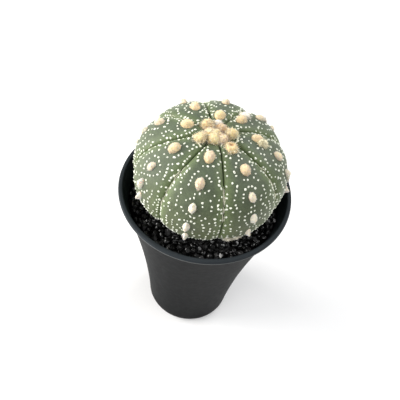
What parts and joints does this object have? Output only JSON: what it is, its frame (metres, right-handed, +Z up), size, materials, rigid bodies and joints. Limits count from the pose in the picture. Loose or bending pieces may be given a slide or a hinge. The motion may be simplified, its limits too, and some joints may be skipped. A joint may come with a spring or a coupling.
{
  "type": "potted star cactus",
  "caption": "Low ribbed dome cactus with woolly areoles and white flecks, rooted in black gravel and potting mix in a tall tapered plastic pot that stands on its base.",
  "frame": {"origin": "centre of the pot's base, on the surface it stands on", "axes": "+Z up along the pot's axis, -Y towards the viewer, +X to the viewer's right"},
  "size_m": [0.095, 0.095, 0.1598],
  "materials": {
    "pot_plastic": "satin moulded plastic, dark charcoal",
    "potting_mix": "damp bark and peat crumbs, matte",
    "gravel_stone": "polished rounded black grains",
    "skin": "matte grey-green skin with white woolly flecks",
    "wool": "cream to straw-coloured plant wool"
  },
  "bodies": {
    "root": {"pot": "pot_plastic", "potting_mix": "potting_mix", "gravel": "gravel_stone", "cactus_body": "skin", "crown_wool": "wool"}
  },
  "joints": []
}
